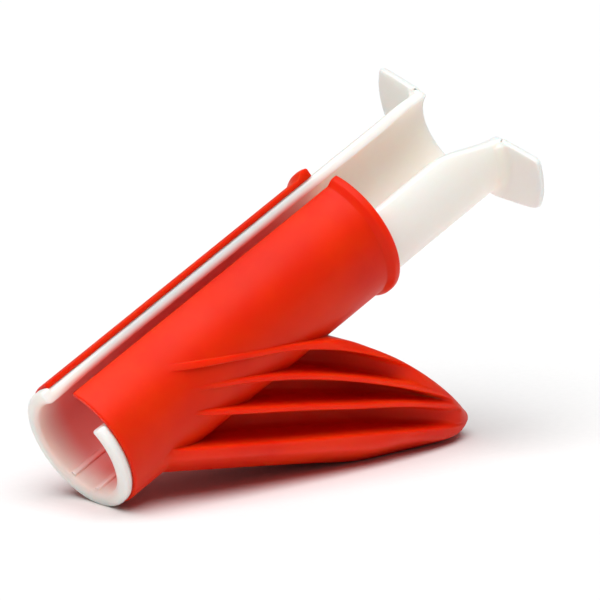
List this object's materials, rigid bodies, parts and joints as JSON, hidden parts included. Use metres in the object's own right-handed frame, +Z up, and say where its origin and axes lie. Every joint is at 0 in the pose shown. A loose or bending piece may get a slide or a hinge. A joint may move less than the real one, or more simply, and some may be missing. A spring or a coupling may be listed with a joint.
{
  "type": "egg slicer",
  "caption": "Hand-held egg slicer: a red slotted sleeve on a leaf-shaped ribbed grip, and a white C-shaped carrier with a muzzle lip and two finger wings sliding in it.",
  "frame": {"origin": "middle of the flat foot under the grip, on the surface the tool rests on", "axes": "+X level, from the muzzle towards the rear end with the finger wings; +Z up from the resting surface; XZ is the mirror plane of the sleeve and grip"},
  "size_m": [0.2403, 0.0945, 0.1595],
  "materials": {
    "red_plastic": "satin",
    "white_plastic": "satin"
  },
  "bodies": {
    "sleeve": {"sleeve_grip": "red_plastic"},
    "carrier": {"carrier": "white_plastic"}
  },
  "joints": [
    {"name": "carrier_slide", "type": "slide", "parent": "sleeve", "child": "carrier", "axis": [-0.8926, 0, -0.4509], "range_m": [0, 0.068]}
  ]
}
